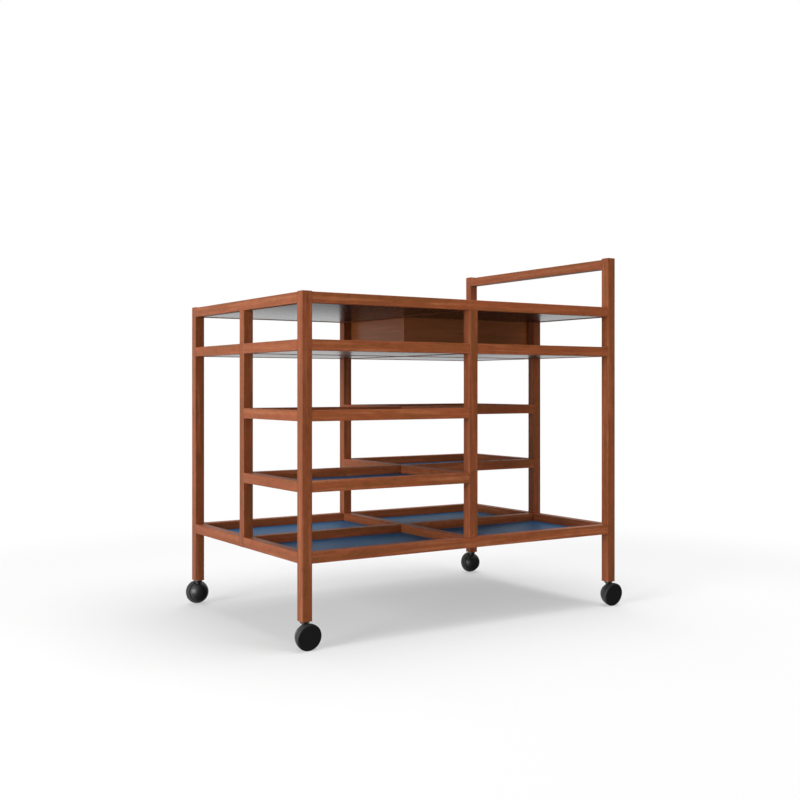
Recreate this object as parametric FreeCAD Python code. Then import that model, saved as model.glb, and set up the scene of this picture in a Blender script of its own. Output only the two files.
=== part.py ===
"""Wooden serving trolley on four ball casters, in millimetres.

X runs from the plain end to the handle end, Y from front to back and Z up.
The origin is on the floor, under the middle of the whole trolley. All four wheels
trail the same way, so the wooden frame's own middle is a little to the other side.
"""
import FreeCAD, Part

import math
import os

from FreeCAD import Placement, Rotation, Vector

# ---- driving dimensions ----------------------------------------------------

# wooden frame
frame_length = 908.0       # over the legs, plain end to handle end
frame_depth = 614.0        # over the legs, front to back
stock = 24.0               # side of the square legs and rails
arris = 1.0                # rounding of their long edges
end_ease = 0.8             # bevel round the legs' upper ends
caster_height = 62.5       # floor to the leg bottoms
leg_foot = 123.0           # leg bottoms to the base rails
shelf_pitch = 152.2        # one rail level to the next, base to upper shelf
top_pitch = 102.2          # upper shelf rails to top rails
leg_proud = 1.5            # plain legs above the top rails
handle_rise = 124.0        # top rails to the handle rail, top to top
handle_proud = 3.2         # handle legs above the handle rail

# panels, let into rebates under the rails
panel_thickness = 3.0
panel_recess = 1.0         # underside above the rails' lower faces
rebate_width = 5.0
panel_play = 0.3           # between a panel's edge and the wood round it

# dowels in the joints
dowel_radius = 4.0
dowel_in_rail = 18.0       # depth in the end of a rail
dowel_in_post = 7.0        # depth in the side that the rail meets

# drawer and its case
case_wall = 8.0
case_lap = 6.0             # end wall over the side of the mid post
runner_width = 14.0
drawer_play = 1.5          # drawer to case, and front to the opening
drawer_lift = 1.0          # runners above the shelf rails
slide_clearance = 0.3      # drawer sides above the runners
drawer_wall = 10.0
front_thickness = 20.0
front_setback = 1.0        # drawer front behind the face of the frame
head_room = 4.0            # drawer sides under the top panel
floor_thickness = 5.0
floor_height = 6.0         # drawer floor above the sides' lower edge
floor_groove = 5.0
front_ease = 1.0           # bevel round the front's outer face
finger_radius = 16.0       # finger notch in the front's upper edge
drawer_travel = 300.0
stop_length = 15.0
stop_width = 40.0
stop_drop = 14.0           # stop block's reach below the shelf rails' top

# ball casters
wheel_radius = 29.6
wheel_rim = 4.2            # rounding of the wheel's outer edge
wheel_tilt = 7.5           # degrees that the wheel's face looks down
wheel_offset = 15.3        # wheel's widest circle from the stem's axis
wheel_trail = 2.5          # wheel's centre from the stem's axis, along X
hood_depth = 35.2          # widest circle to the hood's pole
parting = 11.0             # widest circle to the gap between wheel and hood
parting_gap = 0.8
groove_at = 17.0           # widest circle to the groove round the hood
groove_width = 3.0
groove_depth = 2.4
edge_break = 0.8           # bevel on both sides of the gap
hood_wall = 4.0
boss_radius = 6.0          # bosses round the axle
axle_radius = 3.0
axle_reach = 27.0          # widest circle to the axle's end in the hood
stem_radius = 4.0
stem_bottom = 45.5         # above the floor
stem_in_leg = 36.0
neck_radius = 7.0          # hood's boss round the stem
neck_depth = 22.0
collar_radius = 10.5       # hood's thrust collar under the leg
collar_depth = 2.0
running_clearance = 0.05   # stem in sleeve and wheel on axle, on the radius
thrust_gap = 0.3           # hood under sleeve, and wheel hub beside hood
wheel_clearance = 0.6      # hood round the wheel
sleeve_radius = 6.0
sleeve_length = 38.0
flange_radius = 9.0
flange_thickness = 1.2

# ---- levels and lines worked out from them ---------------------------------

half_length = frame_length / 2
half_depth = frame_depth / 2
mid = stock / 2

base_z = caster_height + leg_foot
level_z = {
    "base": base_z,
    "lower": base_z + shelf_pitch,
    "middle": base_z + 2 * shelf_pitch,
    "upper": base_z + 3 * shelf_pitch,
    "top": base_z + 3 * shelf_pitch + top_pitch,
}
leg_top = level_z["top"] + stock + leg_proud
handle_z = level_z["top"] + handle_rise
handle_leg_top = handle_z + stock + handle_proud

# each line is the pair of planes that a row of stock lies between
frame_x = -wheel_trail
x_left = (frame_x - half_length, frame_x - half_length + stock)
x_mid = (frame_x - mid, frame_x + mid)
x_right = (frame_x + half_length - stock, frame_x + half_length)
y_front = (-half_depth, -half_depth + stock)
y_mid = (-mid, mid)
y_back = (half_depth - stock, half_depth)

# each span is the clear run between two lines
span_x = (x_left[1], x_right[0])
span_x_left = (x_left[1], x_mid[0])
span_x_right = (x_mid[1], x_right[0])
span_y = (y_front[1], y_back[0])
span_y_front = (y_front[1], y_mid[0])
span_y_back = (y_mid[1], y_back[0])

AXES = {"x": Vector(1, 0, 0), "y": Vector(0, 1, 0), "z": Vector(0, 0, 1)}


# ---- helpers ---------------------------------------------------------------

def block(x, y, z):
    """A plain box between three pairs of planes."""
    size = (x[1] - x[0], y[1] - y[0], z[1] - z[0])
    return Part.makeBox(*size, Vector(x[0], y[0], z[0]))


def rod(radius, start, end):
    """A cylinder from one point to another."""
    return Part.makeCylinder(radius, (end - start).Length, start, end - start)


def runs_along(edge, direction):
    """Whether a straight edge is parallel to a direction."""
    run = edge.Vertexes[-1].Point - edge.Vertexes[0].Point
    return run.getAngle(direction) < 0.01 or run.getAngle(-direction) < 0.01


def one_shape(shapes):
    """One shape that holds several solids that stay apart."""
    return shapes[0] if len(shapes) == 1 else Part.makeCompound(shapes)


class Bar:
    """A length of square stock along one axis."""

    def __init__(self, x, y, z, axis, ends=(0, 0)):
        """Keep the planes, the axis and which ends take a dowel."""
        self.planes = {"x": x, "y": y, "z": z}
        self.axis = axis
        self.ends = ends

    def solid(self):
        """The bar with its long edges rounded."""
        plain = block(self.planes["x"], self.planes["y"], self.planes["z"])
        edges = [e for e in plain.Edges if runs_along(e, AXES[self.axis])]
        return plain.makeFillet(arris, edges)

    def dowels(self):
        """The dowels that stick out of its ends."""
        centre = Vector(*[sum(self.planes[a]) / 2 for a in "xyz"])
        half_run = (self.planes[self.axis][1] - self.planes[self.axis][0]) / 2
        pins = []
        for side, wanted in zip((-1, 1), self.ends):
            if wanted:
                way = AXES[self.axis] * side
                end = centre + way * half_run
                pins.append(rod(dowel_radius, end - way * dowel_in_rail,
                                end + way * dowel_in_post))
        return pins


def rail_x(run, line, level):
    """A rail along X, doweled at both ends."""
    z = (level_z[level], level_z[level] + stock)
    return Bar(run, line, z, "x", (1, 1))


def rail_y(line, run, level):
    """A rail along Y, doweled at both ends."""
    z = (level_z[level], level_z[level] + stock)
    return Bar(line, run, z, "y", (1, 1))


# ---- wooden frame ----------------------------------------------------------

def posts():
    """Legs and mid posts by node name; each pair of mid posts shares one."""
    plain = (caster_height, leg_top)
    tall = (caster_height, handle_leg_top)
    on_base = level_z["base"] + stock
    ends = (level_z["base"], level_z["top"])
    sides = (on_base, level_z["top"])
    return {
        "leg_front_left": [Bar(x_left, y_front, plain, "z")],
        "leg_back_left": [Bar(x_left, y_back, plain, "z")],
        "handle_leg_front": [Bar(x_right, y_front, tall, "z")],
        "handle_leg_back": [Bar(x_right, y_back, tall, "z")],
        "mid_posts_end": [Bar(x, y_mid, ends, "z", (0, 1))
                          for x in (x_left, x_right)],
        "mid_posts_side": [Bar(x_mid, y, sides, "z", (1, 1))
                           for y in (y_front, y_back)],
    }


def end_rails(level):
    """The four short rails of the two ends, stopped by the mid posts."""
    return [rail_y(line, run, level)
            for line in (x_left, x_right)
            for run in (span_y_front, span_y_back)]


def tray_side_rails(level):
    """The long outer rails of the near left and far right quarters."""
    return [rail_x(span_x_left, y_front, level),
            rail_x(span_x_right, y_back, level)]


def tray_end_rails(level):
    """The short outer rails of the near left and far right quarters."""
    return [rail_y(x_left, span_y_front, level),
            rail_y(x_right, span_y_back, level)]


def rails():
    """Every rail by node name; repeated rails share a node."""
    parts = {
        "top_rail_front": [rail_x(span_x, y_front, "top")],
        "top_rail_back": [rail_x(span_x, y_back, "top")],
        "top_rails_end": [rail_y(x_left, span_y, "top"),
                          rail_y(x_right, span_y, "top")],
        "top_rail_cross": [rail_y(x_mid, span_y, "top")],
        "upper_rails_side": [rail_x(run, line, "upper")
                             for line in (y_front, y_back)
                             for run in (span_x_left, span_x_right)],
        "upper_rails_end": end_rails("upper"),
        "base_rail_front": [rail_x(span_x, y_front, "base")],
        "base_rail_back": [rail_x(span_x, y_back, "base")],
        "base_rails_end": end_rails("base"),
    }
    for level in ("middle", "lower"):
        parts[level + "_rails_side"] = tray_side_rails(level)
        parts[level + "_rails_end"] = tray_end_rails(level)
    for level in ("upper", "middle", "lower", "base"):
        parts[level + "_rail_long"] = [rail_x(span_x, y_mid, level)]
        parts[level + "_rail_cross"] = [rail_y(x_mid, span_y, level)]
    handle = Bar(x_right, span_y, (handle_z, handle_z + stock), "y", (1, 1))
    parts["handle_rail"] = [handle]
    return parts


def half_lap(level, upper_half):
    """The wood that one of two crossing rails gives up to the other."""
    z = level_z[level] + (mid if upper_half else 0)
    return block(x_mid, y_mid, (z, z + mid))


def panel_fields():
    """The clear rectangles that panels fill, by node name and level."""
    near_left = (span_x_left, span_y_front)
    far_left = (span_x_left, span_y_back)
    near_right = (span_x_right, span_y_front)
    far_right = (span_x_right, span_y_back)
    quarters = [near_left, far_left, near_right, far_right]
    trays = [near_left, far_right]
    return {
        "top_panel_left": ("top", [(span_x_left, span_y)]),
        "top_panel_right": ("top", [(span_x_right, span_y)]),
        "upper_panels": ("upper", quarters),
        "middle_panels": ("middle", trays),
        "lower_panels": ("lower", trays),
        "base_panels": ("base", quarters),
    }


def panel_block(field, level, grow, drop):
    """A panel that reaches into the rebates, or the room cut for it."""
    reach = rebate_width + grow
    x = (field[0][0] - reach, field[0][1] + reach)
    y = (field[1][0] - reach, field[1][1] + reach)
    underside = level_z[level] + panel_recess
    return block(x, y, (underside - drop, underside + panel_thickness))


def post_room(bar):
    """A post with the play that a panel's notched corner leaves round it."""
    x, y, z = (bar.planes[a] for a in "xyz")
    x = (x[0] - panel_play, x[1] + panel_play)
    y = (y[0] - panel_play, y[1] + panel_play)
    return block(x, y, z)


def wooden_frame():
    """Posts, rails, panels and dowels by node name."""
    uprights = posts()
    rail_parts = rails()
    fields = panel_fields()

    rebates = [panel_block(field, level, 0, panel_recess)
               for level, cells in fields.values() for field in cells]
    posts_flat = [bar for group in uprights.values() for bar in group]
    rails_flat = [bar for group in rail_parts.values() for bar in group]
    post_rooms = [post_room(bar) for bar in posts_flat]
    dowels = [pin for bar in posts_flat + rails_flat for pin in bar.dowels()]

    nodes = {}
    for name, group in uprights.items():
        solids = [bar.solid() for bar in group]
        if name.startswith(("leg", "handle_leg")):
            solids = [rounded_top(solids[0]).cut(leg_bore(group[0]))]
        nodes[name] = one_shape([cut_near(solid, dowels) for solid in solids])
    for name, group in rail_parts.items():
        solids = [cut_near(bar.solid(), dowels + rebates) for bar in group]
        level = name.split("_")[0]
        if name.endswith("_rail_long"):
            solids = [solids[0].cut(half_lap(level, True))]
        elif name.endswith("_rail_cross") and level != "top":
            solids = [solids[0].cut(half_lap(level, False))]
        nodes[name] = one_shape(solids)
    for name, (level, cells) in fields.items():
        plates = [panel_block(field, level, -panel_play, 0) for field in cells]
        nodes[name] = one_shape([cut_near(plate, post_rooms)
                                 for plate in plates])
    nodes["dowels"] = one_shape(dowels)
    return nodes


def rounded_top(post):
    """A post whose upper end has its edges eased."""
    top = post.BoundBox.ZMax
    rim = [e for e in post.Edges if e.BoundBox.ZMin > top - end_ease / 2]
    return post.makeChamfer(end_ease, rim)


def cut_near(solid, tools):
    """Cut a solid with those tools whose boxes reach into it."""
    near = [t for t in tools if t.BoundBox.intersect(solid.BoundBox)]
    return solid.cut(Part.makeCompound(near)) if near else solid


# ---- drawer ----------------------------------------------------------------

def drawer_parts():
    """The drawer, its case and its runners by node name."""
    shelf = level_z["upper"] + panel_recess + panel_thickness
    rail_top = level_z["upper"] + stock
    ceiling = level_z["top"]
    room_x = span_x_right
    room_y = span_y_back

    # case: an end wall that laps the mid post, and two long walls
    case_z = (shelf, ceiling + panel_recess)
    inner_x = (room_x[0] + case_wall, room_x[1])
    inner_y = (room_y[0] + case_wall, room_y[1] - case_wall)
    end_x = (room_x[0], inner_x[0])
    lap = block(end_x, (room_y[1], room_y[1] + case_lap), (rail_top, ceiling))
    case_end = block(end_x, room_y, case_z).fuse(lap).removeSplitter()
    case_sides = [
        block(inner_x, (room_y[0], inner_y[0]), case_z),
        block(inner_x, (inner_y[1], room_y[1]), case_z),
    ]

    # runners carry the drawer just above the shelf's end rail
    runner_top = rail_top + drawer_lift
    runner_z = (shelf, runner_top)
    runners = [
        block(inner_x, (inner_y[0], inner_y[0] + runner_width), runner_z),
        block(inner_x, (inner_y[1] - runner_width, inner_y[1]), runner_z),
    ]

    # drawer box
    low = runner_top + slide_clearance
    high = ceiling - head_room
    face = x_right[1] - front_setback
    front_x = (face - front_thickness, face)
    box_y = (inner_y[0] + drawer_play, inner_y[1] - drawer_play)
    clear_y = (box_y[0] + drawer_wall, box_y[1] - drawer_wall)
    box_x = (inner_x[0] + drawer_play, front_x[0])
    clear_x = (box_x[0] + drawer_wall, box_x[1])
    front_y = (room_y[0] + drawer_play, room_y[1] - drawer_play)
    front_z = (rail_top + drawer_play, ceiling - drawer_play)

    floor_z = (low + floor_height, low + floor_height + floor_thickness)
    floor = block((clear_x[0] - floor_groove, clear_x[1] + floor_groove),
                  (clear_y[0] - floor_groove, clear_y[1] + floor_groove),
                  floor_z)
    notch = rod(finger_radius,
                Vector(front_x[0], sum(front_y) / 2, front_z[1]),
                Vector(front_x[1], sum(front_y) / 2, front_z[1]))
    front = block(front_x, front_y, front_z).cut(notch)
    rim = [e for e in front.Edges if e.BoundBox.XMin > face - front_ease / 2]
    front = front.makeChamfer(front_ease, rim).cut(floor)
    sides = [
        block(box_x, (box_y[0], clear_y[0]), (low, high)).cut(floor),
        block(box_x, (clear_y[1], box_y[1]), (low, high)).cut(floor),
    ]
    back = block((box_x[0], clear_x[0]), clear_y, (low, high)).cut(floor)

    # the stop block hangs from the floor and meets the shelf's end rail
    stop_x1 = room_x[1] - slide_clearance - drawer_travel
    stop_y = (sum(box_y) - stop_width) / 2
    stop = block((stop_x1 - stop_length, stop_x1),
                 (stop_y, stop_y + stop_width),
                 (rail_top - stop_drop, floor_z[0]))
    return {
        "drawer_case_end": case_end,
        "drawer_case_sides": one_shape(case_sides),
        "drawer_runners": one_shape(runners),
        "drawer_front": front,
        "drawer_sides": one_shape(sides),
        "drawer_back": back,
        "drawer_floor": floor,
        "drawer_stop_block": stop,
    }


# ---- ball casters ----------------------------------------------------------

tilt = math.radians(wheel_tilt)
wheel_centre_z = (wheel_radius - wheel_rim) * math.cos(tilt) + wheel_rim
wheel_centre = Vector(wheel_trail, -wheel_offset, wheel_centre_z)
wheel_axis = Vector(0, -math.cos(tilt), -math.sin(tilt))
wheel_plane = -parting + parting_gap / 2
hood_plane = -parting - parting_gap / 2


def ball_radius(along, grow=0.0):
    """Radius of the ball's hood side at a place along its axis."""
    share = along / (hood_depth + grow)
    return (wheel_radius + grow) * math.sqrt(1 - share * share)


def ball_arc(start, end, grow=0.0):
    """The ball's hood side outline between two places along its axis."""
    ellipse = Part.Ellipse(Vector(hood_depth + grow, 0, 0),
                           Vector(0, 0, wheel_radius + grow),
                           Vector(0, 0, 0))
    turns = [math.acos(p / (hood_depth + grow)) for p in (end, start)]
    return Part.Arc(ellipse, *turns).toShape()


def line(start, end):
    """A straight edge between two (along, radius) points."""
    return Part.makeLine(Vector(start[0], 0, start[1]),
                         Vector(end[0], 0, end[1]))


def turned(edges):
    """Turn an outline round the wheel's axis, at a front left wheel."""
    face = Part.Face(Part.Wire(Part.__sortEdges__(edges)))
    solid = face.revolve(Vector(0, 0, 0), AXES["x"], 360)
    solid.Placement = Placement(wheel_centre, Rotation(AXES["x"], wheel_axis))
    return solid


def on_axis(along):
    """A point on the wheel's axis."""
    return wheel_centre + wheel_axis * along


def wheel_solid():
    """The wheel: rounded tread, flat outer face, hub bored for the axle."""
    bore = axle_radius + running_clearance
    bore_end = running_clearance + parting_gap
    hub = hood_plane + thrust_gap
    flat = wheel_radius - wheel_rim
    bevel = wheel_plane + edge_break
    rim_start = Vector(0, 0, wheel_radius)
    rim_end = Vector(wheel_rim, 0, flat)
    diagonal = wheel_rim * math.sqrt(0.5)
    rim_middle = Vector(diagonal, 0, flat + diagonal)
    return turned([
        ball_arc(bevel, 0),
        Part.Arc(rim_start, rim_middle, rim_end).toShape(),
        line((wheel_rim, flat), (wheel_rim, 0)),
        line((wheel_rim, 0), (bore_end, 0)),
        line((bore_end, 0), (bore_end, bore)),
        line((bore_end, bore), (hub, bore)),
        line((hub, bore), (hub, boss_radius)),
        line((hub, boss_radius), (wheel_plane, boss_radius)),
        line((wheel_plane, boss_radius),
             (wheel_plane, ball_radius(wheel_plane) - edge_break)),
        line((wheel_plane, ball_radius(wheel_plane) - edge_break),
             (bevel, ball_radius(bevel))),
    ])


def wheel_room():
    """The space that the hood leaves free round the wheel."""
    grown = wheel_radius + wheel_clearance
    end = 2 * wheel_radius
    return turned([
        ball_arc(hood_plane, 0, wheel_clearance),
        line((0, grown), (end, grown)),
        line((end, grown), (end, 0)),
        line((end, 0), (hood_plane, 0)),
        line((hood_plane, 0), (hood_plane, ball_radius(hood_plane,
                                                       wheel_clearance))),
    ])


def hood_groove():
    """The ring that the hood loses to its groove."""
    near = -groove_at + groove_width / 2
    far = -groove_at - groove_width / 2
    low = ball_radius(groove_at) - groove_depth
    high = wheel_radius
    return turned([
        line((far, low), (near, low)),
        line((near, low), (near, high)),
        line((near, high), (far, high)),
        line((far, high), (far, low)),
    ])


def hood_solid():
    """The hood: a grooved dome with bosses round the axle and the stem."""
    bevel = hood_plane - edge_break
    rim = ball_radius(hood_plane) - edge_break
    dome = turned([
        ball_arc(-hood_depth, bevel),
        line((bevel, ball_radius(bevel)), (hood_plane, rim)),
        line((hood_plane, rim), (hood_plane, 0)),
        line((hood_plane, 0), (-hood_depth, 0)),
    ])
    inside = turned([
        ball_arc(-hood_depth + hood_wall, hood_plane, -hood_wall),
        line((hood_plane, ball_radius(hood_plane, -hood_wall)),
             (hood_plane, 0)),
        line((hood_plane, 0), (-hood_depth + hood_wall, 0)),
    ])
    axle_boss = rod(boss_radius, on_axis(-hood_depth), on_axis(hood_plane))
    neck_top = caster_height - flange_thickness - thrust_gap
    neck = rod(neck_radius, Vector(0, 0, neck_top - neck_depth),
               Vector(0, 0, neck_top))
    collar = rod(collar_radius, Vector(0, 0, neck_top - collar_depth),
                 Vector(0, 0, neck_top))
    shell = dome.cut(inside).cut(hood_groove())
    solid = shell.fuse(axle_boss.common(dome)).fuse(neck).fuse(collar)
    solid = solid.cut(wheel_room())
    return solid.cut(stem_solid()).cut(axle_solid()).removeSplitter()


def stem_solid():
    """The steel stem that turns in the leg's sleeve."""
    top = caster_height + stem_in_leg
    stem = rod(stem_radius, Vector(0, 0, stem_bottom), Vector(0, 0, top))
    rim = [e for e in stem.Edges if e.BoundBox.ZMin > top - arris]
    return stem.makeChamfer(arris, rim)


def axle_solid():
    """The steel pin that carries the wheel."""
    return rod(axle_radius, on_axis(-axle_reach), on_axis(0))


def sleeve_solid():
    """The flanged sleeve in the bottom of a leg."""
    bottom = Vector(0, 0, caster_height)
    flange_low = bottom - AXES["z"] * flange_thickness
    top = bottom + AXES["z"] * sleeve_length
    tube = rod(sleeve_radius, bottom, top)
    flange = rod(flange_radius, flange_low, bottom)
    bore = rod(stem_radius + running_clearance, flange_low, top)
    return tube.fuse(flange).cut(bore).removeSplitter()


def leg_bore(leg):
    """The hole for the sleeve in a leg's bottom."""
    x = sum(leg.planes["x"]) / 2
    y = sum(leg.planes["y"]) / 2
    return rod(sleeve_radius, Vector(x, y, caster_height),
               Vector(x, y, caster_height + sleeve_length))


def casters():
    """The casters by node name; the back pair mirrors the front pair."""
    corners = {
        "front_left": (x_left, y_front),
        "front_right": (x_right, y_front),
        "back_left": (x_left, y_back),
        "back_right": (x_right, y_back),
    }
    pieces = {
        "caster_stem": stem_solid(),
        "caster_hood": hood_solid(),
        "caster_axle": axle_solid(),
        "caster_wheel": wheel_solid(),
    }
    sleeve = sleeve_solid()
    nodes = {}
    sleeves = []
    for corner, (x, y) in corners.items():
        centre = Vector(sum(x) / 2, sum(y) / 2, 0)
        for piece, solid in pieces.items():
            if corner.startswith("back"):
                solid = solid.mirror(Vector(0, 0, 0), AXES["y"])
            nodes[piece + "_" + corner] = solid.translated(centre)
        sleeves.append(sleeve.translated(centre))
    nodes["caster_sleeves"] = one_shape(sleeves)
    return nodes


# ---- output ----------------------------------------------------------------

def main():
    """Write one file per node."""
    os.makedirs("parts", exist_ok=True)
    nodes = wooden_frame()
    nodes.update(drawer_parts())
    nodes.update(casters())
    for name, shape in nodes.items():
        if not shape.isValid() or shape.Volume <= 0:
            raise ValueError("bad solid: " + name)
        shape.exportStep("parts/" + name + ".step")
        print(name, len(shape.Solids), "solids", round(shape.Volume), "mm3")


main()
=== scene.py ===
"""Finishes and studio for a wooden cheese trolley on four ball casters.

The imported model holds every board, panel and plain caster part, and gets its finishes here.
Lengths are in metres, unless a name ends in _mm. X runs to the handle end, Y to the back.
"""
import logging
import math
from dataclasses import dataclass
from enum import Enum
from typing import Any

import bmesh
import bpy
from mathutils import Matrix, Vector


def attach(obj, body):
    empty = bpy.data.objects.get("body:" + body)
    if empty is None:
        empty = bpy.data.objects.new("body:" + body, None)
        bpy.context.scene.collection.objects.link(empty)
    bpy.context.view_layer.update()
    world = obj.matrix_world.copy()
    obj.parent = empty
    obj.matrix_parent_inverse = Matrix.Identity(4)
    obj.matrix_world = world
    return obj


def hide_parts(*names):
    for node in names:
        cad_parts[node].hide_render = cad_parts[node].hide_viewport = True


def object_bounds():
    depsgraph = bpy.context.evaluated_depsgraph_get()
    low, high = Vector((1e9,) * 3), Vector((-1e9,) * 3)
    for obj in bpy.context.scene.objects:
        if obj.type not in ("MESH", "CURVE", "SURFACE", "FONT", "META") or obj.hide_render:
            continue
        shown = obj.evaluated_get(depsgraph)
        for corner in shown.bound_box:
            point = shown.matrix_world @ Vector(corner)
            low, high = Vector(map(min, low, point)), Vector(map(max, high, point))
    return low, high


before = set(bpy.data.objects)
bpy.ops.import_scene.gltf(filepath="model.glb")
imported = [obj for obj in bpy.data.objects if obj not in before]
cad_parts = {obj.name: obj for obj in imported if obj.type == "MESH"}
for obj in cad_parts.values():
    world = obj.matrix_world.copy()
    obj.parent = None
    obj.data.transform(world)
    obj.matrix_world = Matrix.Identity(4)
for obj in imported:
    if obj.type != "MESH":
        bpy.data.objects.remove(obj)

CAD_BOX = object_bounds()
MM = 0.001
# most of a noise texture's grey values lie between these two
NOISE_LOW, NOISE_HIGH = 0.3, 0.7
LOG = logging.getLogger("cheese_trolley")


def linear(colour: str) -> tuple[float, float, float, float]:
    """Turn an sRGB hex colour into the linear RGBA that a socket takes.

    Args:
        colour: Six hex digits, with or without a leading #.

    Returns:
        Linear red, green and blue, and an alpha of 1.
    """
    shares = [int(colour.lstrip("#")[i:i + 2], 16) / 255 for i in (0, 2, 4)]
    red, green, blue = (s / 12.92 if s <= 0.04045 else ((s + 0.055) / 1.055) ** 2.4
                        for s in shares)
    return red, green, blue, 1.0


def add_node(tree: bpy.types.NodeTree, kind: str, settings: dict[str, Any] | None = None,
             values: dict[Any, Any] | None = None,
             links: dict[Any, bpy.types.NodeSocket] | None = None) -> bpy.types.Node:
    """Add a node with its settings, its constant inputs and its links.

    Args:
        tree: The tree that gets the node.
        kind: The node's type name.
        settings: Properties of the node itself.
        values: Constants by input name or number.
        links: Output sockets by the input name or number that they feed.

    Returns:
        The new node.
    """
    node = tree.nodes.new(kind)
    for name, value in (settings or {}).items():
        setattr(node, name, value)
    for key, value in (values or {}).items():
        node.inputs[key].default_value = value
    for key, source in (links or {}).items():
        tree.links.new(source, node.inputs[key])
    return node


def new_material(name: str) -> tuple[bpy.types.Material, bpy.types.NodeTree]:
    """Make a material with an empty node tree.

    Args:
        name: The material's name.

    Returns:
        The material and its tree.
    """
    material = bpy.data.materials.new(name)
    material.use_nodes = True
    material.node_tree.nodes.clear()
    return material, material.node_tree


def set_ramp(ramp: bpy.types.Node, stops: list[tuple[float, tuple]]) -> None:
    """Give a colour ramp its stops.

    Args:
        ramp: A ShaderNodeValToRGB node.
        stops: Places from 0 to 1 with their linear colours.
    """
    elements = ramp.color_ramp.elements
    while len(elements) < len(stops):
        elements.new(0.5)
    for element, (place, colour) in zip(elements, stops):
        element.position = place
        element.color = colour


def dress(name: str, material: bpy.types.Material) -> bpy.types.Object:
    """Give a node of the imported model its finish.

    Args:
        name: The node's name.
        material: The finish.

    Returns:
        The node's object.
    """
    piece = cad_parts[name]
    piece.data.materials.clear()
    piece.data.materials.append(material)
    LOG.info("%s is finished in %s", name, material.name)
    return piece


class Grain(Enum):
    """The object axis that a board's fibres run along."""

    ALONG_X = 0
    ALONG_Y = 1
    ALONG_Z = 2

    def stretch(self, across_mm: float, along_mm: float) -> tuple[float, ...]:
        """Give the pattern scale per axis for a figure of that width and length.

        Args:
            across_mm: Width of the figure across the fibres.
            along_mm: Length of the figure along the fibres.

        Returns:
            Repeats per metre on X, Y and Z.
        """
        return tuple(1 / (MM * (along_mm if axis == self.value else across_mm))
                     for axis in range(3))

    def direction(self) -> tuple[float, ...]:
        """Give the unit vector along the fibres."""
        return tuple(float(axis == self.value) for axis in range(3))


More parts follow.
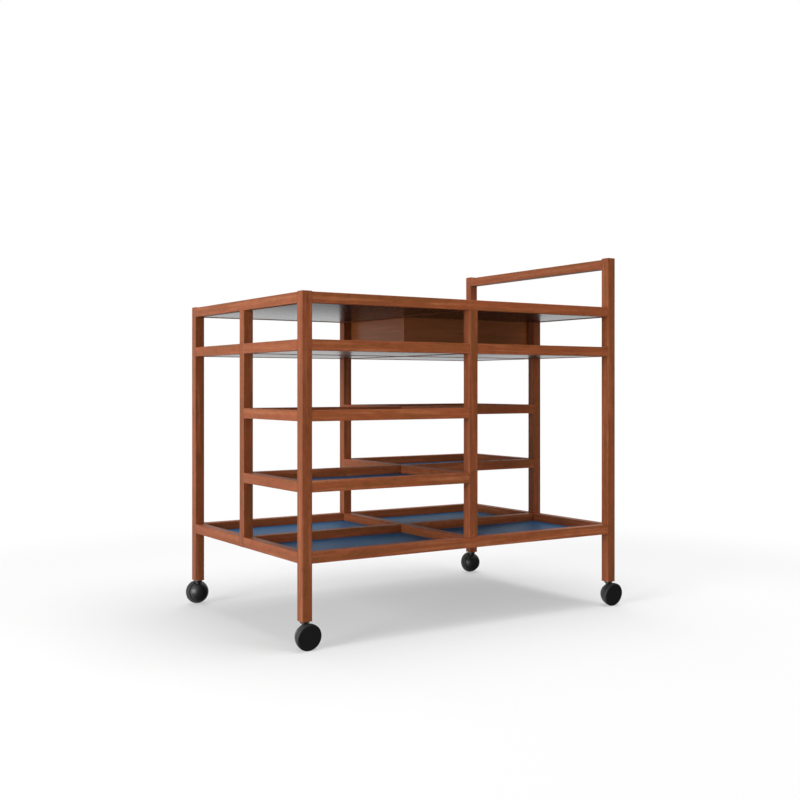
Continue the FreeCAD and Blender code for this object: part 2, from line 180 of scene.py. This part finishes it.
@dataclass(frozen=True)
class OiledCherry:
    """Reddish cherry, planed, sanded and oiled.

    Planing leaves long soft streaks of redder and browner wood, a cloudy figure across them
    and fine fibres. Sanding leaves a closed satin face with short dark pores and a few gum
    flecks, and the oil warms it and lets it shine a little.
    """

    grain: Grain
    plank: int
    kind: str = "oiled_cherry"
    red: str = "#8c4828"
    brown: str = "#804a25"
    light: str = "#9a5c38"
    tone: float = 1.0
    figure_share: float = 1.0
    end_shade: float = 0.66
    specular: float = 0.3
    streak_mm: tuple[float, float] = (9.0, 260.0)
    board_mm: tuple[float, float] = (70.0, 700.0)
    cloud_mm: tuple[float, float] = (14.0, 26.0)
    fibre_mm: tuple[float, float] = (1.3, 40.0)
    # real pores are under 0.1 mm wide, so they are drawn coarse enough to show
    pore_mm: tuple[float, float] = (1.6, 9.0)
    fleck_mm: tuple[float, float] = (5.0, 16.0)
    roughness: tuple[float, float] = (0.5, 0.62)
    relief_mm: float = 0.1

    def material(self) -> bpy.types.Material:
        """Build the board's material."""
        material, tree = new_material(f"{self.kind}_{self.grain.name.lower()}_{self.plank}")
        coords = add_node(tree, "ShaderNodeTexCoord")
        place = tuple(7.31 * (self.plank + 1) * share for share in (1.0, 1.7, 2.3))

        def figure(size_mm: tuple[float, float], detail: float, distortion: float,
                   shift: float) -> bpy.types.NodeSocket:
            """Give a noise stretched along the fibres, shifted so that no two line up."""
            spread = add_node(tree, "ShaderNodeMapping", values={
                "Scale": self.grain.stretch(*size_mm),
                "Location": tuple(p + shift for p in place),
            }, links={"Vector": coords.outputs["Object"]})
            noise = add_node(tree, "ShaderNodeTexNoise", values={
                "Scale": 1.0, "Detail": detail, "Distortion": distortion,
            }, links={"Vector": spread.outputs["Vector"]})
            return noise.outputs["Fac"]

        def shade(grey: bpy.types.NodeSocket, start: float, end: float, low: float,
                  high: float) -> bpy.types.NodeSocket:
            """Turn a stretch of a grey value into a share of the wood's lightness."""
            return add_node(tree, "ShaderNodeMapRange", values={
                "From Min": start, "From Max": end, "To Min": low, "To Max": high,
            }, links={"Value": grey}).outputs["Result"]

        def tint(grey: bpy.types.NodeSocket, start: float, end: float, low: float,
                 high: float) -> bpy.types.NodeSocket:
            """Shade the wood with a grey value as strongly as this board shows its figure."""
            return shade(grey, start, end, 1 + (low - 1) * self.figure_share,
                         1 + (high - 1) * self.figure_share)

        streaks = figure(self.streak_mm, 3.0, 0.6, 0.0)
        fibres = figure(self.fibre_mm, 3.0, 0.0, 23.0)
        painted_light_tones = add_node(tree, "ShaderNodeValToRGB", links={"Fac": streaks})
        set_ramp(painted_light_tones, [(0.36, linear(self.brown)), (0.52, linear(self.red)),
                         (0.68, linear(self.light))])
        across = add_node(tree, "ShaderNodeVectorMath", {"operation": "DOT_PRODUCT"},
                          values={1: self.grain.direction()},
                          links={0: coords.outputs["Normal"]})
        turned = add_node(tree, "ShaderNodeMath", {"operation": "ABSOLUTE"},
                          links={0: across.outputs["Value"]}).outputs["Value"]
        tone = shade(figure(self.board_mm, 1.0, 0.0, 11.0), NOISE_LOW, NOISE_HIGH,
                     0.9 * self.tone, 1.1 * self.tone)
        for part in (tint(figure(self.cloud_mm, 2.0, 0.3, 53.0), NOISE_LOW, NOISE_HIGH,
                          0.9, 1.09),
                     tint(fibres, NOISE_LOW, NOISE_HIGH, 0.88, 1.1),
                     tint(figure(self.pore_mm, 2.0, 0.0, 37.0), 0.58, 0.72, 1.0, 0.7),
                     tint(figure(self.fleck_mm, 1.0, 0.2, 71.0), 0.71, 0.77, 1.0, 0.65),
                     shade(turned, 0.6, 0.9, 1.0, self.end_shade)):
            tone = add_node(tree, "ShaderNodeMath", {"operation": "MULTIPLY"},
                            links={0: tone, 1: part}).outputs["Value"]
        colour = add_node(tree, "ShaderNodeVectorMath", {"operation": "SCALE"}, links={
            0: painted_light_tones.outputs["Color"], "Scale": tone})
        relief = add_node(tree, "ShaderNodeBump", values={
            "Strength": 0.5, "Distance": self.relief_mm * MM}, links={"Height": tone})
        surface = add_node(tree, "ShaderNodeBsdfPrincipled", values={
            "IOR": 1.45, "Specular IOR Level": self.specular,
        }, links={
            "Base Color": colour.outputs["Vector"],
            "Roughness": shade(fibres, NOISE_LOW, NOISE_HIGH, *self.roughness),
            "Normal": relief.outputs["Normal"],
        })
        add_node(tree, "ShaderNodeOutputMaterial",
                 links={"Surface": surface.outputs["BSDF"]})
        return material


@dataclass(frozen=True)
class LacqueredVeneer(OiledCherry):
    """Plain cherry veneer on thin board, pressed, edged and sprayed with satin lacquer.

    Sliced veneer is even, so its figure is faint, its edges look like its faces, and the
    lacquer lays a smooth pale sheen over it.
    """

    kind: str = "lacquered_cherry_veneer"
    # these colours and the tone are paler than the frame's: partly the veneer's own colour,
    # partly painted light that makes up for the shade the case stands in under the top
    red: str = "#9c5830"
    brown: str = "#94582e"
    light: str = "#a4623a"
    tone: float = 1.15
    figure_share: float = 0.3
    end_shade: float = 0.97
    specular: float = 0.3
    roughness: tuple[float, float] = (0.3, 0.36)
    relief_mm: float = 0.02


@dataclass(frozen=True)
class Laminate:
    """Pressed laminate on thin board.

    The press plate gives each face its gloss: the upper face is petrol blue and satin, so it
    keeps its colour at a low angle, and the lower face is glossier, so it mirrors softly what
    stands round it, and is painted near black as painted shade for the dark under the trays.
    Both carry a faint orange peel.
    """

    name: str
    colour: str
    roughness: float
    specular: float
    peel_mm: float = 14.0
    peel_depth_mm: float = 0.004
    scuff_mm: float = 3.0

    def material(self) -> bpy.types.Material:
        """Build the laminate's material."""
        material, tree = new_material(self.name)
        coords = add_node(tree, "ShaderNodeTexCoord")
        peel = add_node(tree, "ShaderNodeTexNoise", values={
            "Scale": 1 / (self.peel_mm * MM), "Detail": 1.0,
        }, links={"Vector": coords.outputs["Object"]})
        scuffs = add_node(tree, "ShaderNodeTexNoise", values={
            "Scale": 1 / (self.scuff_mm * MM), "Detail": 3.0,
        }, links={"Vector": coords.outputs["Object"]})
        sheen = add_node(tree, "ShaderNodeMapRange", values={
            "From Min": NOISE_LOW, "From Max": NOISE_HIGH,
            "To Min": 0.92 * self.roughness, "To Max": 1.08 * self.roughness,
        }, links={"Value": scuffs.outputs["Fac"]})
        relief = add_node(tree, "ShaderNodeBump", values={
            "Strength": 1.0, "Distance": self.peel_depth_mm * MM,
        }, links={"Height": peel.outputs["Fac"]})
        surface = add_node(tree, "ShaderNodeBsdfPrincipled", values={
            "Base Color": linear(self.colour), "IOR": 1.5,
            "Specular IOR Level": self.specular,
        }, links={"Normal": relief.outputs["Normal"], "Roughness": sheen.outputs["Result"]})
        add_node(tree, "ShaderNodeOutputMaterial",
                 links={"Surface": surface.outputs["BSDF"]})
        return material


@dataclass(frozen=True)
class MouldedNylon:
    """Black nylon, injection moulded with a fine spark texture.

    The mould's texture breaks the gloss, so highlights are wide, grey and soft.
    """

    name: str
    colour: str
    roughness: float
    spread: float = 0.04
    texture_mm: float = 0.9
    texture_depth_mm: float = 0.02

    def material(self) -> bpy.types.Material:
        """Build the nylon's material."""
        material, tree = new_material(self.name)
        coords = add_node(tree, "ShaderNodeTexCoord")
        texture = add_node(tree, "ShaderNodeTexNoise", values={
            "Scale": 1 / (self.texture_mm * MM), "Detail": 2.0,
        }, links={"Vector": coords.outputs["Object"]})
        relief = add_node(tree, "ShaderNodeBump", values={
            "Strength": 0.6, "Distance": self.texture_depth_mm * MM,
        }, links={"Height": texture.outputs["Fac"]})
        sheen = add_node(tree, "ShaderNodeMapRange", values={
            "From Min": NOISE_LOW, "From Max": NOISE_HIGH,
            "To Min": self.roughness - self.spread, "To Max": self.roughness + self.spread,
        }, links={"Value": texture.outputs["Fac"]})
        surface = add_node(tree, "ShaderNodeBsdfPrincipled", values={
            "Base Color": linear(self.colour), "IOR": 1.53,
        }, links={"Normal": relief.outputs["Normal"],
                  "Roughness": sheen.outputs["Result"]})
        add_node(tree, "ShaderNodeOutputMaterial",
                 links={"Surface": surface.outputs["BSDF"]})
        return material


@dataclass(frozen=True)
class ZincSteel:
    """Mild steel, turned and bright zinc plated, with faint turning marks and a cool shine."""

    colour: str = "#c3c6c9"
    roughness: float = 0.3
    turning_mm: float = 0.5

    def material(self) -> bpy.types.Material:
        """Build the plated steel's material."""
        material, tree = new_material("zinc_plated_steel")
        coords = add_node(tree, "ShaderNodeTexCoord")
        marks = add_node(tree, "ShaderNodeTexNoise", values={
            "Scale": 1 / (self.turning_mm * MM), "Detail": 2.0,
        }, links={"Vector": coords.outputs["Object"]})
        sheen = add_node(tree, "ShaderNodeMapRange", values={
            "From Min": NOISE_LOW, "From Max": NOISE_HIGH,
            "To Min": self.roughness - 0.06, "To Max": self.roughness + 0.08,
        }, links={"Value": marks.outputs["Fac"]})
        surface = add_node(tree, "ShaderNodeBsdfPrincipled", values={
            "Base Color": linear(self.colour), "Metallic": 1.0,
        }, links={"Roughness": sheen.outputs["Result"]})
        add_node(tree, "ShaderNodeOutputMaterial",
                 links={"Surface": surface.outputs["BSDF"]})
        return material


@dataclass
class WoodenFrame:
    """Legs, posts, rails and dowels of the trolley."""

    upright: tuple[str, ...] = ("leg_front_left", "leg_back_left", "handle_leg_front",
                                "handle_leg_back", "mid_posts_end", "mid_posts_side",
                                "dowels")
    lengthwise: tuple[str, ...] = ("_rail_front", "_rail_back", "_rails_side", "_rail_long")
    crosswise: tuple[str, ...] = ("_rails_end", "_rail_cross", "handle_rail")
    # lightness of the boards that run along X, Y and Z: painted light, which makes the long
    # rails, whose front faces the lamps light weakly, paler than the rest
    painted_light_tones: tuple[float, float, float] = (1.19, 1.05, 0.97)

    def grain_of(self, name: str) -> Grain | None:
        """Say which way a node's boards run.

        Args:
            name: The node's name.

        Returns:
            The grain, or None for a node that isn't part of the wooden frame.
        """
        if name in self.upright:
            return Grain.ALONG_Z
        if name.endswith(self.lengthwise):
            return Grain.ALONG_X
        return Grain.ALONG_Y if name.endswith(self.crosswise) else None

    def finish(self) -> None:
        """Give each node its own plank, with the long rails painted paler to make up for the
        weak light on their front faces.
        """
        names = [n for n in sorted(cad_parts) if self.grain_of(n)]
        for plank, name in enumerate(names):
            grain = self.grain_of(name)
            dress(name, OiledCherry(grain, plank, tone=self.painted_light_tones[grain.value]).material())


@dataclass
class Panels:
    """The laminate panels of the trays, blue above, and below painted near black as painted
    shade.
    """

    names: tuple[str, ...] = ("top_panel_left", "top_panel_right", "upper_panels",
                              "middle_panels", "lower_panels", "base_panels")
    merge_mm: float = 0.01
    edge_break_mm: float = 0.25
    flat_deg: float = 1.0
    sharp_deg: float = 30.0
    upward: float = 0.3

    def build(self) -> None:
        """Model every group of panels with its two finishes."""
        upper = Laminate("satin_laminate_blue", "#2d638f", 0.5, 0.12).material()
        # the lower faces are painted near black: painted shade for the dark under the trays
        lower = Laminate("gloss_laminate_near_black", "#0a1622", 0.27, 1.0).material()
        for name in self.names:
            self.panel_group(name, upper, lower)

    def panel_group(self, name: str, upper: bpy.types.Material,
                    lower: bpy.types.Material) -> bpy.types.Object:
        """Model one group of panels with broken edges.

        Args:
            name: The node that the group stands for.
            upper: The finish of the upper faces.
            lower: The finish of the lower faces and the edges.

        Returns:
            The group's object.
        """
        shape = bmesh.new()
        shape.from_mesh(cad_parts[name].data)
        bmesh.ops.remove_doubles(shape, verts=shape.verts[:], dist=self.merge_mm * MM)
        bmesh.ops.dissolve_limit(shape, angle_limit=math.radians(self.flat_deg),
                                 verts=shape.verts[:], edges=shape.edges[:])
        sharp = [e for e in shape.edges
                 if e.calc_face_angle(0.0) > math.radians(self.sharp_deg)]
        bmesh.ops.bevel(shape, geom=sharp, offset=self.edge_break_mm * MM, segments=1,
                        profile=0.5, affect="EDGES", material=-1)
        shape.normal_update()
        for face in shape.faces:
            face.material_index = 0 if face.normal.z > self.upward else 1
        mesh = bpy.data.meshes.new(f"laminate_{name}")
        shape.to_mesh(mesh)
        shape.free()
        mesh.materials.append(upper)
        mesh.materials.append(lower)
        group = bpy.data.objects.new(f"laminate_{name}", mesh)
        bpy.context.scene.collection.objects.link(group)
        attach(group, "frame")
        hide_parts(name)
        LOG.info("%s is built", group.name)
        return group


@dataclass
class Drawer:
    """The drawer, its case and its runners."""

    lengthwise: tuple[str, ...] = ("drawer_case_sides", "drawer_runners", "drawer_sides")
    crosswise: tuple[str, ...] = ("drawer_case_end", "drawer_front", "drawer_back",
                                  "drawer_floor", "drawer_stop_block")
    first_plank: int = 60

    def finish(self) -> None:
        """Give each board of the drawer its own plank, and the case its veneer."""
        for plank, name in enumerate(self.lengthwise + self.crosswise, self.first_plank):
            grain = Grain.ALONG_X if name in self.lengthwise else Grain.ALONG_Y
            board = LacqueredVeneer if "case" in name else OiledCherry
            dress(name, board(grain, plank).material())


@dataclass
class Casters:
    """The four ball casters."""

    corners: tuple[str, ...] = ("front_left", "front_right", "back_left", "back_right")

    def finish(self) -> None:
        """Finish the hoods, wheels and steel parts."""
        hood = MouldedNylon("nylon_hood_black", "#1c1c1c", 0.42).material()
        wheel = MouldedNylon("nylon_wheel_black", "#161616", 0.6).material()
        steel = ZincSteel().material()
        for corner in self.corners:
            dress(f"caster_hood_{corner}", hood)
            dress(f"caster_wheel_{corner}", wheel)
            for part in ("stem", "axle"):
                dress(f"caster_{part}_{corner}", steel)
        dress("caster_sleeves", steel)


@dataclass
class Studio:
    """White floor, a white sweep behind, a dark room behind the camera, soft lamps."""

    floor_half: float = 14.0
    floor_colour: str = "#bcbcbc"
    floor_gain: float = 0.41
    white_from: float = 0.9
    white_by: float = 1.9
    fill: float = 0.2
    sweep_towards: tuple[float, float, float] = (-0.5, 0.75, 0.43)
    room_shade: float = 0.05
    sweep_edge: tuple[float, float] = (-0.35, 0.25)
    # name, place, side, watts, and whether shiny faces show it
    lamps: tuple[tuple[str, tuple[float, float, float], float, float, bool], ...] = (
        ("top", (0.3, -0.3, 3.0), 2.0, 70.0, False),
        ("top_back", (0.2, 1.6, 2.8), 2.0, 25.0, False),
        ("left", (-4.6, -1.2, 1.2), 2.2, 205.0, True),
        ("front", (1.4, -3.4, 0.9), 1.6, 26.0, False))
    camera_at: tuple[float, float, float] = (-1.53447, -2.35526, 0.5643)
    camera_yaw_deg: float = -32.905
    lens_mm: float = 48.79
    horizon_shift: float = -0.01665

    def surroundings(self) -> None:
        """Light softly from all round, and show the white sweep and the dark room."""
        world = bpy.data.worlds.new("white_studio")
        world.use_nodes = True
        tree = world.node_tree
        tree.nodes.clear()
        rays = add_node(tree, "ShaderNodeLightPath")
        reflected = add_node(tree, "ShaderNodeMath", {"operation": "MAXIMUM"}, links={
            0: rays.outputs["Is Glossy Ray"], 1: rays.outputs["Is Transmission Ray"]})
        towards = add_node(tree, "ShaderNodeTexCoord")
        facing = add_node(tree, "ShaderNodeVectorMath", {"operation": "DOT_PRODUCT"},
                          values={1: Vector(self.sweep_towards).normalized()},
                          links={0: towards.outputs["Generated"]})
        sweep = add_node(tree, "ShaderNodeMapRange", {"interpolation_type": "SMOOTHSTEP"},
                         values={"From Min": self.sweep_edge[0],
                                 "From Max": self.sweep_edge[1],
                                 "To Min": self.room_shade, "To Max": 1.0},
                         links={"Value": facing.outputs["Value"]})
        soft = add_node(tree, "ShaderNodeBackground",
                        values={"Color": linear("#ffffff"), "Strength": self.fill})
        mirrored = add_node(tree, "ShaderNodeBackground",
                            values={"Color": linear("#ffffff")},
                            links={"Strength": sweep.outputs["Result"]})
        shown = add_node(tree, "ShaderNodeBackground",
                         values={"Color": linear("#ffffff"), "Strength": 1.0})
        lit = add_node(tree, "ShaderNodeMixShader", links={
            0: reflected.outputs["Value"], 1: soft.outputs["Background"],
            2: mirrored.outputs["Background"]})
        both = add_node(tree, "ShaderNodeMixShader", links={
            0: rays.outputs["Is Camera Ray"], 1: lit.outputs["Shader"],
            2: shown.outputs["Background"]})
        add_node(tree, "ShaderNodeOutputWorld", links={"Surface": both.outputs["Shader"]})
        bpy.context.scene.world = world

    def floor(self) -> bpy.types.Object:
        """Lay the pale floor, which shows white outside the shadow."""
        material, tree = new_material("painted_floor")
        rays = add_node(tree, "ShaderNodeLightPath")
        paint = add_node(tree, "ShaderNodeBsdfDiffuse",
                         values={"Color": linear(self.floor_colour)})
        lift = add_node(tree, "ShaderNodeEmission",
                        values={"Color": linear("#ffffff"), "Strength": self.floor_gain})
        near = add_node(tree, "ShaderNodeAddShader", links={
            0: paint.outputs["BSDF"], 1: lift.outputs["Emission"]})
        far = add_node(tree, "ShaderNodeEmission",
                       values={"Color": linear("#ffffff"), "Strength": 1.0})
        coords = add_node(tree, "ShaderNodeTexCoord")
        reach = add_node(tree, "ShaderNodeVectorMath", {"operation": "LENGTH"},
                         links={0: coords.outputs["Object"]})
        distance = add_node(tree, "ShaderNodeMapRange", {"interpolation_type": "SMOOTHSTEP"},
                            values={"From Min": self.white_from, "From Max": self.white_by},
                            links={"Value": reach.outputs["Value"]})
        shown = add_node(tree, "ShaderNodeMixShader", links={
            0: distance.outputs["Result"], 1: near.outputs["Shader"],
            2: far.outputs["Emission"]})
        both = add_node(tree, "ShaderNodeMixShader", links={
            0: rays.outputs["Is Camera Ray"], 1: paint.outputs["BSDF"],
            2: shown.outputs["Shader"]})
        add_node(tree, "ShaderNodeOutputMaterial", links={"Surface": both.outputs["Shader"]})
        bpy.ops.mesh.primitive_plane_add(size=2 * self.floor_half)
        floor = bpy.context.object
        floor.name = "floor"
        floor.visible_glossy = False
        floor.data.materials.append(material)
        return floor

    def lamp(self, name: str, place: tuple[float, float, float], size: float,
             power: float, mirrored: bool) -> bpy.types.Object:
        """Hang a square soft lamp that faces the middle of the trolley.

        Args:
            name: The lamp's name.
            place: Where it hangs.
            size: Its side.
            power: Its power in watts.
            mirrored: Whether shiny faces show it.

        Returns:
            The lamp.
        """
        data = bpy.data.lights.new(name, "AREA")
        data.size = size
        data.energy = power
        lamp = bpy.data.objects.new(name, data)
        bpy.context.scene.collection.objects.link(lamp)
        lamp.location = place
        middle = (CAD_BOX[0] + CAD_BOX[1]) / 2
        lamp.rotation_euler = (middle - Vector(place)).to_track_quat("-Z", "Y").to_euler()
        lamp.visible_camera = False
        lamp.visible_glossy = mirrored
        return lamp

    def camera(self) -> bpy.types.Object:
        """Set the camera low in front of the plain end."""
        data = bpy.data.cameras.new("camera")
        data.lens = self.lens_mm
        data.sensor_width = 36.0
        data.shift_y = self.horizon_shift
        camera = bpy.data.objects.new("camera", data)
        bpy.context.scene.collection.objects.link(camera)
        camera.location = self.camera_at
        camera.rotation_euler = (math.radians(90), 0.0, math.radians(self.camera_yaw_deg))
        bpy.context.scene.camera = camera
        return camera

    def build(self) -> None:
        """Set up the whole studio."""
        self.surroundings()
        self.floor()
        for settings in self.lamps:
            self.lamp(*settings)
        self.camera()
        bpy.context.scene.view_settings.view_transform = "Standard"


def main() -> None:
    """Finish the trolley and set up the studio."""
    logging.basicConfig(level=logging.INFO, format="%(name)s: %(message)s")
    WoodenFrame().finish()
    Panels().build()
    Drawer().finish()
    Casters().finish()
    Studio().build()


if __name__ == "__main__":
    main()
